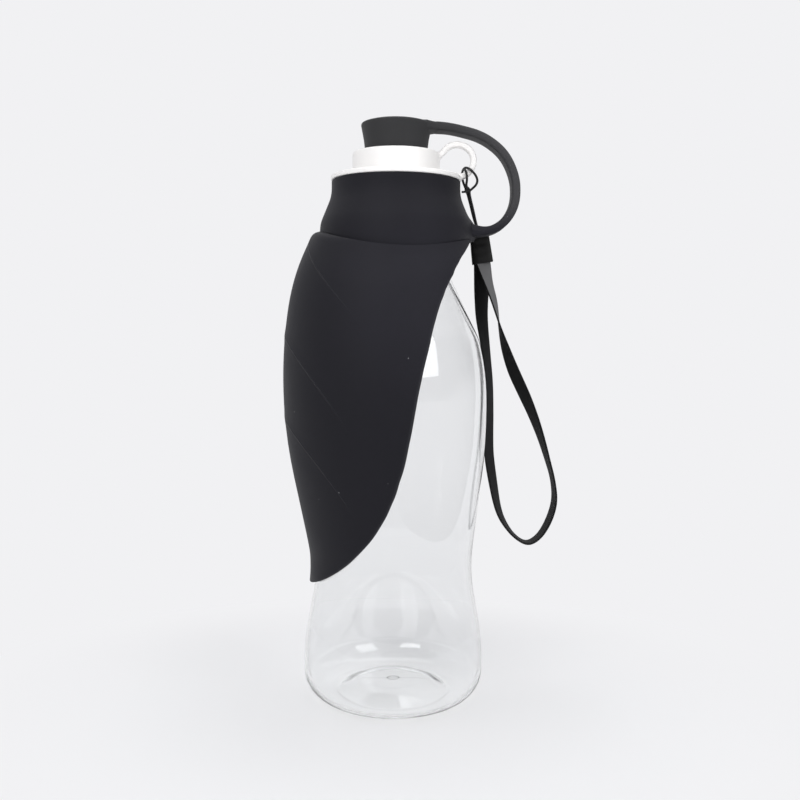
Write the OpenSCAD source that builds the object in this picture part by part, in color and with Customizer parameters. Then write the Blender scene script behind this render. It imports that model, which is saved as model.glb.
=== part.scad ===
// Travel water bottle for dogs: a clear blow-moulded bottle, a white screw cap with a spout, and a
// soft silicone part whose long leaf turns up above the spout and becomes the drinking bowl.
// Millimetres. Origin: centre of the bottle's foot on the table, +Z up. The leaf lies at -X,
// the carry strap and the wrist lanyard at +X, and the object is symmetric about y = 0
// apart from the lanyard.

/* [Bottle] */
// Radius of the foot
foot_r = 36.3; // [35:0.1:37.5]
// Rounding between the foot's wall and the table
heel_fillet = 10.6; // [8:0.1:11.5]
// Height where the foot starts to draw in to the waist
foot_z = 22.5; // [19:0.5:26]
// Radius of the waist that the hand holds
waist_r = 32; // [30:0.1:34]
// Height of the waist's lower end
waist_low_z = 47; // [42:0.5:50]
// Height of the waist's upper end
waist_high_z = 57; // [54:0.5:62]
// Radius of the belly
belly_r = 37.8; // [36.5:0.1:39.5]
// Height where the belly begins
belly_low_z = 102.5; // [96:0.5:108]
// Height where the belly ends
belly_high_z = 130; // [126:0.5:133]
// Radius where the belly turns into the straight shoulder
shoulder_r = 34.6; // [33.5:0.1:35.5]
// Height of that turn
shoulder_z = 145; // [142:0.5:149]
// Wall thickness of the blown body
bottle_wall = 1.0; // [0.6:0.1:1.6]
// Height of the dome pushed up into the base
push_h = 4.2; // [2:0.1:6]
// Radius of that dome's rim
push_r = 21; // [18:0.5:22.5]

/* [Neck] */
// Outer radius of the neck
neck_r = 17.6; // [17:0.1:18.2]
// Wall thickness of the neck
neck_wall = 1.6; // [1.2:0.1:2]
// Height where the shoulder meets the neck
neck_z = 181; // [178:0.5:183]
// Height of the neck's lip
neck_top = 208.5; // [206:0.5:211]
// Radius of the support ring round the neck
neck_ring_r = 19.4; // [18.6:0.1:20.5]
// Thickness of the support ring
neck_ring_t = 1.4; // [1:0.1:2]
// Thickness of the sealing washer on the lip
gasket_t = 1.5; // [1:0.1:2]

/* [Cap] */
// Radius of the cap's flange
flange_r = 26.8; // [26:0.1:28]
// Thickness of the flange
flange_t = 2; // [1.5:0.1:3]
// Outer radius of the spout
spout_r = 18; // [17:0.1:19]
// Height of the spout above the flange
spout_h = 9.6; // [8:0.1:12]
// Radius of the bore that the stopper closes
spout_bore_r = 11; // [9.5:0.1:12]
// Wall thickness of the cap's mouldings
cap_wall = 1.6; // [1.2:0.1:2]
// Radius inside the threaded skirt, clear of the neck's threads
skirt_bore_r = 19.25; // [19:0.05:19.6]
// Depth of the threaded skirt under the flange
skirt_h = 20; // [16:0.5:20.5]
// Radius of the outer wall that the silicone collar grips
grip_wall_r = 24.1; // [23.8:0.1:24.8]
// Depth of that wall under the flange
grip_wall_h = 14; // [11:0.5:16]
// Number of ribs between the two skirts
skirt_ribs = 12; // [6:1:18]

/* [Lanyard eye] */
// Distance of the eye's centre from the bottle's axis
eye_x = 25; // [24.5:0.1:25.4]
// Height of the eye's centre above the flange's top
eye_rise = 6.7; // [6.4:0.1:7]
// Outer radius of the eye
eye_r = 7.6; // [7.4:0.1:8]
// Radius of the eye's hole
eye_bore_r = 5.4; // [5:0.1:5.6]
// Thickness of the eye
eye_t = 3.5; // [2.5:0.1:4]

/* [Silicone collar] */
// Outer radius of the collar's upper band
collar_r = 26.5; // [26.1:0.1:26.8]
// Outer radius of the collar's flared lip
collar_lip_r = 31; // [30.4:0.1:31.6]
// Height of the upper band
collar_band_h = 6.5; // [4:0.5:8]
// Height where the flare ends
collar_lip_z = 192.2; // [190:0.1:195]
// Wall thickness of the silicone collar
collar_wall = 2.3; // [1.8:0.1:2.3]
// Radius of the curved fold between collar and leaf, seen from the side
fold_r = 84; // [75:1:100]
// Height of the fold's lowest point
fold_low_z = 181; // [180:0.5:183]
// Distance of the fold's lowest point from the bottle's axis
fold_x = 4.6; // [2:0.1:7]

/* [Leaf] */
// Height of the leaf's tip above the table
leaf_tip_z = 46; // [40:0.5:60]
// Gap between the leaf and the bottle's flank
leaf_gap = 1; // [0.8:0.1:1.6]
// Thickness of the leaf at its root
leaf_root_t = 1.9; // [1.6:0.1:2.4]
// Thickness of the leaf at its tip
leaf_tip_t = 1.2; // [1:0.1:1.6]
// How far the keel stands out past the flank
keel_rise = 6.1; // [4:0.1:8]
// Height where the keel stands out most
keel_z = 150; // [140:1:158]
// Half of the angle that the leaf wraps round the bottle
leaf_wrap = 96.5; // [80:0.5:104]
// Further half angle gained towards the root
leaf_wrap_gain = 28; // [15:1:30]
// Further half angle in the flare at the root
leaf_flare = 41.5; // [30:0.5:42]

/* [Carry strap] */
// Thickness of the strap
strap_t = 3.2; // [2.6:0.1:3.6]
// Width of the strap
strap_w = 10; // [9:0.1:11]
// Rounding of the strap's edges
strap_round = 1.3; // [0.8:0.1:1.3]

/* [Stopper] */
// Radius of the stopper's head at its seat
head_low_r = 12.8; // [12:0.1:13.4]
// Radius of the head near its top
head_top_r = 14.5; // [13.5:0.1:15]
// Height of the head
head_h = 12.8; // [12.6:0.1:14]
// Depth of the stem below the head
stem_h = 11; // [8:0.5:13]
// Wall thickness of the hollow stem
stem_wall = 3.2; // [2.2:0.1:4.5]

/* [Lanyard] */
// Diameter of the cord through the eye
cord_d = 1; // [0.8:0.1:1]
// Width of the webbing
webbing_w = 7; // [6:0.1:7.2]
// Thickness of the webbing
webbing_t = 1; // [0.8:0.1:1]
// Height of the crimped sleeve that joins cord and webbing
ferrule_h = 12.6; // [12:0.1:13.2]
// Width of the crimped sleeve
ferrule_w = 8.8; // [8.8:0.1:9]
// Thickness of the crimped sleeve
ferrule_t = 4.8; // [4.6:0.1:4.9]
// How much narrower the sleeve is at its top
ferrule_taper = 2.1; // [1:0.1:2.6]

/* [Hidden] */

fit = 0.1;               // between pieces that seat in each other
seal_fit = 0.05;         // between the stopper's sealing ribs and the bore
fold_gap = 0.3;          // between collar and leaf along the fold
foot_ring_w = 2.4;       // width of the ring that the bottle stands on
neck_ring_rise = 3.6;    // support ring above the shoulder
heel_rise = 1.2;         // inner wall's height over the table at the heel, in wall thicknesses
foot_blend = 100;        // radii that blend the flank's faces into each other, foot to shoulder
waist_low_blend = 55;
waist_high_blend = 75;
belly_low_blend = 220;
belly_high_blend = 100;
shoulder_blend = 26;
neck_blend = 8;          // shoulder into neck
$fn = 96;

contact_r = foot_r - heel_fillet;
roof_z = neck_top + gasket_t;
flange_top = roof_z + flange_t;
spout_top = flange_top + spout_h;
collar_bore_r = grip_wall_r + fit;
collar_band_z = roof_z - collar_band_h;
head_top = spout_top + head_h;
strap_start_x = head_top_r + 1.8;           // face between the head's lug and the strap
strap_start_z = spout_top + 10.3;           // middle of that face
pad_x = collar_lip_r + 2.4;                 // face between the collar's pad and the strap
pad_z = fold_low_z + 8.4;                   // middle of that face

// ---- outlines -------------------------------------------------------------------------------

function unit(v) = v / norm(v);

// Arc that rounds corner b between points a and c with radius r, as points
function corner_arc(a, b, c, r) =
    let (u = unit(a - b), v = unit(c - b), half = acos(u * v) / 2, reach = r / tan(half),
         centre = b + unit(u + v) * r / sin(half), first = b + u * reach - centre,
         last = b + v * reach - centre, from = atan2(first.y, first.x),
         turn = (atan2(last.y, last.x) - from + 540) % 360 - 180,
         steps = max(4, ceil(abs(turn) / 10)))
    [for (i = [0:steps]) centre + r * [cos(from + turn * i / steps), sin(from + turn * i / steps)]];

// Line through corners [radius, height, fillet], with every fillet drawn
function rounded_line(corners) =
    [for (i = [0:len(corners) - 1])
        let (b = [corners[i][0], corners[i][1]], r = corners[i][2])
        each (r == 0 ? [b]
            : corner_arc([corners[i - 1][0], corners[i - 1][1]], b,
                         [corners[i + 1][0], corners[i + 1][1]], r))];

// The bottle's flank from the table to the shoulder. inset moves it inwards, for the inner wall.
function flank(inset) = [
    [foot_r - inset, inset * heel_rise, heel_fillet - inset],
    [foot_r - inset, foot_z, foot_blend],
    [waist_r - inset, waist_low_z, waist_low_blend],
    [waist_r - inset, waist_high_z, waist_high_blend],
    [belly_r - inset, belly_low_z, belly_low_blend],
    [belly_r - inset, belly_high_z, belly_high_blend],
    [shoulder_r - inset, shoulder_z, shoulder_blend]];

outer_line = rounded_line(concat(
    [[contact_r - foot_ring_w, 0, 0]],
    flank(0),
    [[neck_r, neck_z, neck_blend],
     [neck_r, neck_z + neck_ring_rise, 0],
     [neck_ring_r, neck_z + neck_ring_rise, 0],
     [neck_ring_r, neck_z + neck_ring_rise + neck_ring_t, 0],
     [neck_r, neck_z + neck_ring_rise + neck_ring_t, 0],
     [neck_r, neck_top, 0]]));

inner_line = rounded_line(concat(
    [[0, push_h + bottle_wall * 1.4, 0],
     [push_r - 1, push_h + bottle_wall * 0.8, 3],
     [contact_r - foot_ring_w + 1.4, bottle_wall * heel_rise, 2]],
    flank(bottle_wall),
    [[neck_r - neck_wall, neck_z + 1.5, neck_blend - 1],
     [neck_r - neck_wall, neck_top, 0]]));

// Outer radius of the bottle at height z, on its flank
flank_table = [for (p = outer_line) if (p.y < shoulder_z) [p.y, p.x]];
function bottle_r(z) = lookup(z, flank_table);

function reversed(list) = [for (i = [len(list) - 1:-1:0]) list[i]];

// ---- leaf -----------------------------------------------------------------------------------

belly_z = (belly_low_z + belly_high_z) / 2;
fold_centre_z = fold_low_z + fold_r;
leaf_root_inset = 0.4;                      // leaf's inner face inside the collar's lip
leaf_root_r = collar_lip_r - leaf_root_inset;
leaf_rows = 36;
leaf_columns = 34;

// Height of the fold at distance x from the axis, seen from the side
function fold_z(x, gap) = fold_centre_z - sqrt((fold_r + gap) ^ 2 - (x - fold_x) ^ 2);

// Height of the leaf's upper edge at angle a from the keel and radius r
function leaf_top(a, r) = fold_z(-r * cos(a), fold_gap);

// Half of the leaf's opening angle at height z
leaf_edge_top = leaf_top(leaf_wrap + leaf_wrap_gain + leaf_flare, leaf_root_r);
function leaf_half_angle(z) =
    let (t = min(1, max(0, (z - leaf_tip_z) / (leaf_edge_top - leaf_tip_z))))
    leaf_wrap * (1 - max(0, 1 - 2 * t) ^ 2.2) ^ 0.53
    + leaf_wrap_gain * (max(0, t - 0.25) / 0.75) ^ 1.8
    + leaf_flare * max(0, (t - 0.71) / 0.29) ^ 3;

// Inner radius of the leaf's flank: it follows the bottle up to the belly, then arches to the fold
// at height top
function leaf_flank(z, top) =
    z < belly_z ? bottle_r(z) + leaf_gap
    : let (t = (z - belly_z) / (top - belly_z))
      leaf_root_r + (belly_r + leaf_gap - leaf_root_r) * (1 - t * t);

// How far the keel stands out past the flank
keel_foot_z = waist_high_z;
keel_head_rise = 3.2;                       // the keel would die out this far above the fold
keel_head_z = leaf_top(0, leaf_root_r) + keel_head_rise;
function keel_out(z) =
    z < keel_foot_z ? 0
    : z < keel_z ? keel_rise * sin(90 * ((z - keel_foot_z) / (keel_z - keel_foot_z)) ^ 1.15)
    : keel_rise * cos(90 * ((z - keel_z) / (keel_head_z - keel_z)) ^ 1.4);

// The leaf's shoulder rolls in towards the fold over its last millimetres
leaf_roll = 2.8;
inner_roll_share = 0.65;                    // share of the roll that the inner face follows
function roll_in(z, top) =
    let (q = min(1, max(0, (z - top + leaf_roll) / leaf_roll)))
    1 - sqrt(1 - q * q);

// Share of the way from fold to tip of row i: close together at both ends
function row_share(i) =
    let (s = i / leaf_rows) 0.45 * s + 0.55 * (1 - cos(180 * s)) / 2;

// Point of the leaf in row i and column j. depth runs from 0, outer face, to 1, inner face.
// grow moves the rim outwards, to round it.
function leaf_point(i, j, depth, grow) =
    let (s = row_share(i), u = 2 * j / leaf_columns - 1,
         fan = u * (leaf_wrap + leaf_wrap_gain + leaf_flare),
         root_r = leaf_root_r + leaf_root_t * (1 - depth) - leaf_roll * (1 + cos(fan)) / 3,
         ring = leaf_top(fan, root_r),
         level = leaf_edge_top + (leaf_tip_z - leaf_edge_top) * s,
         z = level + (ring - leaf_edge_top) * (1 - s) ^ 3 + (i == 0 ? grow : 0),
         a = u * (leaf_half_angle(level) + (abs(u) == 1 ? grow * 1.4 : 0)),
         t = leaf_root_t + (leaf_tip_t - leaf_root_t) * s,
         lean = (1 + cos(a)) / 2,
         r = leaf_flank(z, ring) + keel_out(z) * lean + t * (1 - depth)
             - leaf_roll * lean * roll_in(z, ring) * (1 - (1 - inner_roll_share) * depth))
    [-r * cos(a), r * sin(a), z];

// ---- tubes along a route --------------------------------------------------------------------

// Smooth curve through the points of a route, steps points to a span
function through(p, steps) =
    [for (i = [0:len(p) - 2], k = [0:steps - 1])
        let (t = k / steps, a = p[max(i - 1, 0)], b = p[i], c = p[i + 1],
             d = p[min(i + 2, len(p) - 1)])
        0.5 * (2 * b + (c - a) * t + (2 * a - 5 * b + 4 * c - d) * t ^ 2
               + (3 * b - a - 3 * c + d) * t ^ 3),
     p[len(p) - 1]];

function heading(p, i) = unit(p[min(i + 1, len(p) - 1)] - p[max(i - 1, 0)]);

// Closed skin over rings of n points each, listed one ring after another
module skin(points, rings, n) {
    polyhedron(points, concat(
        [[for (k = [n - 1:-1:0]) k]],
        [for (i = [0:rings - 2], k = [0:n - 1])
            each [[i * n + k, i * n + (k + 1) % n, (i + 1) * n + (k + 1) % n],
                  [i * n + k, (i + 1) * n + (k + 1) % n, (i + 1) * n + k]]],
        [[for (k = [0:n - 1]) (rings - 1) * n + k]]), convexity = 6);
}

// Route of the cord: up from the crimped sleeve, round the lower limb of the eye and down again.
// It leaves and enters the sleeve's top.
cord_route = [
    [35.4, 8.8, 189.6], [34.5, 8.4, 191.8], [33.7, 7.4, 194], [33, 6.1, 196.6],
    [32.3, 4.4, 200], [31.4, 2.7, 203.8], [30.5, 1, 207], [29.9, -0.8, 209.6],
    [29.7, -2.1, 211.8], [29.5, -2.6, 213.8], [28.5, -2.1, 215.2], [28.3, 0, 215.4],
    [28.5, 2.1, 215.2], [29.8, 2.7, 214.2], [31.6, 2.6, 213.8], [33.1, 2.3, 212.4],
    [33.5, 2, 210.6], [32.8, 2.1, 208.7], [31.8, 2.9, 206.6], [31.9, 4.2, 203.6],
    [32.6, 5.8, 199.8], [33.4, 7.4, 196.2], [34.3, 8.8, 193.4], [35.2, 10, 191.6],
    [35.7, 10.2, 189.6]];

ferrule_top = cord_route[0].z;
ferrule_low = ferrule_top - ferrule_h;      // the webbing enters the sleeve here

// Route of the webbing, with the direction of its width as an angle about Z:
// down the left leg, round the bottom of the loop and up the right leg
webbing_route = [
    [36.6, 10.4, ferrule_low, 178], [36.7, 11.4, 171, 168], [36.7, 13, 163, 150],
    [37, 13.4, 153.5, 128], [38.7, 12.9, 140, 112], [40.1, 12.5, 126, 108],
    [40.3, 12.4, 113, 112], [40.1, 12.3, 103, 115], [40.3, 12.2, 95.5, 113],
    [41.8, 12, 85, 110], [44.2, 12, 73, 105], [47.4, 12, 66, 98],
    [52, 12, 60.6, 94], [57, 12, 58.4, 92], [62, 12, 61.6, 96],
    [66, 12, 68.5, 101], [68.1, 12, 76.4, 104], [67.4, 11.9, 85, 108],
    [65, 11.7, 94, 110], [62.2, 11.5, 103.2, 112], [58.8, 11.2, 112.5, 116],
    [54.9, 11, 121.5, 123], [50.5, 10.6, 131, 124], [47.1, 9.6, 140, 119],
    [44.3, 8.2, 149.5, 120], [41.8, 7.1, 160, 134], [39, 7.4, 169, 158],
    [37, 8.6, ferrule_low, 178]];

cord_sides = 8;
webbing_steps = 2;                          // rings for each span of the route

ferrule_x = (webbing_route[0].x + webbing_route[len(webbing_route) - 1].x) / 2;
ferrule_y = (webbing_route[0].y + webbing_route[len(webbing_route) - 1].y) / 2;

// ---- pieces ---------------------------------------------------------------------------------

module bottle() {
    color([0.86, 0.89, 0.91, 0.45])
    rotate_extrude()
    polygon(concat(
        [[0, push_h]],
        rounded_line([[0, push_h, 0], [push_r, push_h * 0.85, 5],
                      [contact_r - foot_ring_w, 0, 0]]),
        [for (i = [1:len(outer_line) - 1]) outer_line[i]],
        reversed(inner_line)));
}

module neck_gasket() {
    color([0.93, 0.93, 0.91])
    translate([0, 0, neck_top])
    difference() {
        cylinder(h = gasket_t, r = skirt_bore_r - fit);
        translate([0, 0, -1]) cylinder(h = gasket_t + 2, r = neck_r - neck_wall - fit);
    }
}

// Tube standing on height z
module tube(z, h, outer, inner) {
    translate([0, 0, z])
    difference() {
        cylinder(h = h, r = outer);
        translate([0, 0, -1]) cylinder(h = h + 2, r = inner);
    }
}

bead_r = grip_wall_r + 0.8;                 // bead that holds the collar on the cap
bead_z = roof_z - grip_wall_h + 3;
bead_h = 1.6;
rib_t = 1.2;                                // ribs between the two skirts
edge_break = 0.5;                           // broken edges of the flange

module screw_cap() {
    eye_z = flange_top + eye_rise;
    skirt_r = skirt_bore_r + cap_wall;
    guide_low_z = neck_top - 2.5;
    root = flange_t / 2;                    // the skirts and ribs grow out of the flange's middle
    color([0.94, 0.93, 0.91]) {
        difference() {
            union() {
                // flange and the roof over the gasket
                rotate_extrude()
                polygon([[spout_r - cap_wall, roof_z], [flange_r - edge_break, roof_z],
                         [flange_r, roof_z + edge_break], [flange_r, flange_top - edge_break],
                         [flange_r - edge_break, flange_top], [spout_r - cap_wall, flange_top]]);
                // spout: outer wall with a rounded rim, and its deck
                rotate_extrude()
                polygon(concat(
                    rounded_line([[spout_bore_r, spout_top, 0], [spout_r, spout_top, 0.8],
                                  [spout_r, roof_z, 0]]),
                    [[spout_r - cap_wall, roof_z], [spout_r - cap_wall, spout_top - cap_wall],
                     [spout_bore_r, spout_top - cap_wall]]));
                // inner tube that guides the stopper, down into the neck
                tube(guide_low_z, spout_top - guide_low_z, spout_bore_r + cap_wall, spout_bore_r);
                // threaded skirt, the wall under the collar and the ribs between them
                tube(roof_z - skirt_h, skirt_h + root, skirt_r, skirt_bore_r);
                tube(roof_z - grip_wall_h, grip_wall_h + root, grip_wall_r, grip_wall_r - cap_wall);
                translate([0, 0, bead_z])
                rotate_extrude()
                polygon([[grip_wall_r - 0.5, 0], [grip_wall_r, 0], [bead_r, bead_h / 3],
                         [bead_r, bead_h * 2 / 3], [grip_wall_r, bead_h],
                         [grip_wall_r - 0.5, bead_h]]);
                for (i = [0:skirt_ribs - 1])
                    rotate([0, 0, 360 / skirt_ribs * (i + 0.5)])
                    translate([skirt_r - 0.3, -rib_t / 2, roof_z - grip_wall_h + 2])
                    cube([grip_wall_r - cap_wall - skirt_r + 0.6, rib_t, grip_wall_h - 2 + root]);
                // eye for the lanyard, standing on the flange beside the spout
                translate([eye_x, eye_t / 2, eye_z])
                rotate([90, 0, 0]) cylinder(h = eye_t, r = eye_r);
            }
            translate([eye_x, eye_t, eye_z])
            rotate([90, 0, 0]) cylinder(h = eye_t * 2, r = eye_bore_r);
        }
    }
}

// Rounded rectangle, w along X and h along Y
module rounded_box(w, h, r) {
    polygon([for (c = [[1, 1, 0], [-1, 1, 90], [-1, -1, 180], [1, -1, 270]], a = [0:22.5:90])
        [c.x * (w / 2 - r) + r * cos(c[2] + a), c.y * (h / 2 - r) + r * sin(c[2] + a)]]);
}

pad_edge = 1.2;                             // the pad's size over the strap's

module sleeve_collar() {
    lip = collar_lip_r + 0.3;
    low = fold_low_z - 6;                   // under the fold, which cuts the lip off
    inner_lip_z = collar_lip_z - 2.4;
    upper_fillet = 14;                      // the band runs smoothly into the flared lip
    lower_fillet = 12;
    color([0.17, 0.17, 0.18]) {
        intersection() {
            rotate_extrude()
            polygon(concat(
                rounded_line([[collar_r - 0.6, roof_z, 0], [collar_r, roof_z - 0.6, 0],
                              [collar_r, collar_band_z, upper_fillet],
                              [collar_lip_r, collar_lip_z, lower_fillet], [lip, low, 0]]),
                rounded_line([[lip - collar_wall, low, 0],
                              [collar_lip_r - collar_wall, inner_lip_z, 3],
                              [collar_bore_r, bead_z - 3, 0]]),
                [[collar_bore_r, bead_z - fit], [bead_r + fit, bead_z + bead_h / 3 - fit],
                 [bead_r + fit, bead_z + bead_h * 2 / 3 + fit], [collar_bore_r, bead_z + bead_h + fit],
                 [collar_bore_r, roof_z]]));
            translate([fold_x, 50, fold_centre_z])
            rotate([90, 0, 0]) cylinder(h = 100, r = fold_r, $fn = 180);
        }
        // pad that the carry strap runs into
        translate([collar_lip_r - collar_wall + 1, 0, pad_z])
        rotate([0, 90, 0])
        linear_extrude(pad_x - collar_lip_r + collar_wall - 1)
        rounded_box(strap_t + pad_edge, strap_w + pad_edge, strap_round);
    }
}

// Middle line of the strap, [distance from the axis, height], from the head's lug to the pad
strap_route = [
    [strap_start_x, 0], [20, -0.1], [24, -0.6], [28.4, -1.6], [32, -2.6], [35.2, -3.9], [38.2, -5.6],
    [41, -7.6], [43.2, -9.7], [45, -12], [46.4, -14.4], [47.5, -16.9], [48.4, -19.6], [49, -22.4],
    [49.2, -25.3], [49.1, -28.3], [48.6, -31.2], [47.6, -34], [46.1, -36.6], [44.2, -38.8],
    [41.8, -40.7], [39, -42], [36, -42.5], [pad_x, -42.5]];

module carry_strap() {
    last = len(strap_route) - 1;
    // the route's drop is stretched so that it ends on the pad
    stretch = (strap_start_z - pad_z) / -strap_route[last].y;
    line = through([for (p = strap_route) [p.x, 0, strap_start_z + p.y * stretch]], 2);
    corner = strap_w / 2 - strap_round;
    edge = strap_t / 2 - strap_round;
    ends = [[1, 0, 0], [-1, 0, 0]];
    color([0.24, 0.24, 0.25])
    skin([for (i = [0:len(line) - 1])
            let (along = i == 0 ? ends[0] : i == len(line) - 1 ? ends[1] : heading(line, i),
                 out = cross(along, [0, -1, 0]))
            for (c = [[1, 1, 0], [-1, 1, 90], [-1, -1, 180], [1, -1, 270]], a = [0:30:90])
                line[i] + [0, 1, 0] * (c.x * corner + strap_round * cos(c[2] + a))
                + out * (c.y * edge + strap_round * sin(c[2] + a))],
        len(line), 16);
}

module stopper() {
    stem_r = spout_bore_r - 0.2;
    rib_r = spout_bore_r - seal_fit;
    rib_h = 1;
    rib_draft = 0.2;
    stem_low = spout_top - stem_h;
    color([0.24, 0.24, 0.25]) {
        rotate_extrude()
        polygon(concat(
            [[0, spout_top - 1.5], [stem_r - stem_wall, spout_top - 1.5],
             [stem_r - stem_wall, stem_low], [stem_r - 0.8, stem_low], [stem_r, stem_low + 1.6]],
            [for (z = [stem_low + 2.6, stem_low + 7.4]) each [
                [stem_r, z], [rib_r, z + rib_draft],
                [rib_r, z + rib_h - rib_draft], [stem_r, z + rib_h]]],
            [[stem_r, spout_top]],
            rounded_line([[head_low_r - 0.4, spout_top, 0], [head_low_r, spout_top + 0.4, 0],
                          [head_top_r, head_top - 2.2, 1.2], [head_top_r - 2, head_top - 0.4, 3],
                          [0, head_top, 0]])));
        // lug that runs into the strap
        translate([head_low_r - 3, 0, strap_start_z])
        rotate([0, 90, 0])
        linear_extrude(strap_start_x - head_low_r + 3)
        rounded_box(strap_t, strap_w, strap_round);
    }
}

module leaf_bowl() {
    // each row is one closed ring: the outer face from side to side, the rim, the inner face back
    n = leaf_columns;
    rim = 0.45;                             // how far the rim's middle bulges
    rows = [for (i = [0:leaf_rows - 1]) concat(
        [for (j = [0:n]) leaf_point(i, j, 0, 0)],
        [leaf_point(i, n, 0.5, rim)],
        [for (j = [n:-1:0]) leaf_point(i, j, 1, 0)],
        [leaf_point(i, 0, 0.5, rim)])];
    m = 2 * n + 4;
    function inner(j) = 2 * n + 2 - j;      // index of column j on the inner face
    tip = leaf_point(leaf_rows, n / 2, 0.5, 0);
    color([0.15, 0.15, 0.16])
    polyhedron(
        concat([for (row = rows) each row], [tip]),
        concat(
            // upper edge along the fold
            [for (j = [0:n - 1]) each [[j, j + 1, inner(j)], [j + 1, inner(j + 1), inner(j)]]],
            [[n, n + 1, inner(n)], [inner(0), m - 1, 0]],
            [for (i = [0:leaf_rows - 2], k = [0:m - 1])
                each [[i * m + k, (i + 1) * m + k, (i + 1) * m + (k + 1) % m],
                      [i * m + k, (i + 1) * m + (k + 1) % m, i * m + (k + 1) % m]]],
            [for (k = [0:m - 1])
                [(leaf_rows - 1) * m + k, leaf_rows * m, (leaf_rows - 1) * m + (k + 1) % m]]),
        convexity = 8);
}

module lanyard_cord() {
    line = through(cord_route, 2);
    color([0.05, 0.05, 0.05])
    skin([for (i = [0:len(line) - 1])
            let (along = i == 0 || i == len(line) - 1 ? [0, 0, i == 0 ? 1 : -1] : heading(line, i),
                 side = unit(cross(along, [0.35, 0.2, 0.9])), up = cross(side, along))
            for (k = [0:cord_sides - 1])
                line[i] + cord_d / 2 * (side * cos(360 * k / cord_sides) + up * sin(360 * k / cord_sides))],
        len(line), cord_sides);
}

module crimp_ferrule() {
    color([0.06, 0.06, 0.06])
    translate([ferrule_x, ferrule_y, ferrule_low])
    difference() {
        intersection() {
            linear_extrude(ferrule_h) rounded_box(ferrule_w, ferrule_t, 1.4);
            // the side away from the bottle leans in towards the top
            translate([0, ferrule_t, 0])
            rotate([90, 0, 0])
            linear_extrude(ferrule_t * 2)
            polygon([[-ferrule_w, -1], [ferrule_w / 2 + ferrule_taper / ferrule_h, -1],
                     [ferrule_w / 2 - ferrule_taper, ferrule_h],
                     [ferrule_w / 2 - ferrule_taper, ferrule_h + 1], [-ferrule_w, ferrule_h + 1]]);
        }
        // two crimps pressed across the front and the back
        for (side = [-1, 1], share = [0.35, 0.65])
            translate([-ferrule_w / 2 - 1, side * (ferrule_t / 2 + 0.75), ferrule_h * share])
            rotate([0, 90, 0]) cylinder(h = ferrule_w + 2, r = 1.1, $fn = 32);
    }
}

module wrist_strap() {
    line = through([for (p = webbing_route) [p[0], p[1], p[2]]], webbing_steps);
    turn = through([for (p = webbing_route) [p[3], 0, 0]], webbing_steps);
    last = len(line) - 1;
    color([0.07, 0.07, 0.08])
    skin([for (i = [0:last])
            let (along = i == 0 ? [0, 0, -1] : i == last ? [0, 0, 1] : heading(line, i),
                 wide = [cos(turn[i].x), sin(turn[i].x), 0],
                 across = unit(wide - along * (wide * along)), thin = cross(along, across))
            for (c = [[-1, -1], [-1, 1], [1, 1], [1, -1]])
                line[i] + across * c.x * webbing_w / 2 + thin * c.y * webbing_t / 2],
        len(line), 4);
}

bottle();
neck_gasket();
screw_cap();
sleeve_collar();
leaf_bowl();
carry_strap();
stopper();
lanyard_cord();
crimp_ferrule();
wrist_strap();
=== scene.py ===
"""Looks of a travel water bottle for dogs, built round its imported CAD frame.

Lengths in the shape functions are millimetres, as in the part's source; MM turns them into metres.
"""
import bpy, bmesh, math
from mathutils import Matrix, Vector


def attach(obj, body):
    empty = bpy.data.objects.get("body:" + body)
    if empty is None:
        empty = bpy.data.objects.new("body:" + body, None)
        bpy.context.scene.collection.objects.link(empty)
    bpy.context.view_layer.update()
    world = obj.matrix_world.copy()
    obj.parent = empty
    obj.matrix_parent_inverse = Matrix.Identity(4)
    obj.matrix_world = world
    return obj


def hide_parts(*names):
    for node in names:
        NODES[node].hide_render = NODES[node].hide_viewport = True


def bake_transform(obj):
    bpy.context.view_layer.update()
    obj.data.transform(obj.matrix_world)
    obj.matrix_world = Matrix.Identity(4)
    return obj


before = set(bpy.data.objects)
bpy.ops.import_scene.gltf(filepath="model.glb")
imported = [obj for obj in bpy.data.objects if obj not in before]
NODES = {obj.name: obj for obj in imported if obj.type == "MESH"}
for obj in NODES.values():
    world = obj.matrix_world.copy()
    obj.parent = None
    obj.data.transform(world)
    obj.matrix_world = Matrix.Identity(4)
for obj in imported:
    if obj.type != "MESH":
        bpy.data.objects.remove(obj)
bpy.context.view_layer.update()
MM = 0.001
scene = bpy.context.scene

# ---- camera ---------------------------------------------------------------------------------

# Fitted to the photo's frame: its side, the focal length and the horizon's row, all in pixels
FRAME_PX, FOCAL_PX, HORIZON_PX = 800, 925, 322

camera_data = bpy.data.cameras.new("camera")
camera_data.sensor_width = 36
camera_data.lens = camera_data.sensor_width * FOCAL_PX / FRAME_PX
camera_data.shift_y = (HORIZON_PX - FRAME_PX / 2) / FRAME_PX
camera_data.clip_start, camera_data.clip_end = 0.02, 20
camera = bpy.data.objects.new("camera", camera_data)
camera.location = (0.00198, -0.382, 0.152)
camera.rotation_euler = (math.radians(90), math.radians(-0.344), 0)
scene.collection.objects.link(camera)
scene.camera = camera

# ---- helpers --------------------------------------------------------------------------------


def new_piece(name, bm, smooth=35):
    """Turns a finished bmesh into a piece. Edges sharper than smooth degrees stay sharp."""
    mesh = bpy.data.meshes.new(name)
    bm.to_mesh(mesh)
    bm.free()
    mesh.shade_smooth()
    mesh.set_sharp_from_angle(angle=math.radians(smooth))
    piece = bpy.data.objects.new(name, mesh)
    scene.collection.objects.link(piece)
    return piece


def scaled(bm):
    """From the millimetres of the shape functions to the frame's metres."""
    bmesh.ops.scale(bm, vec=(MM, MM, MM), verts=bm.verts)
    return bm


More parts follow.
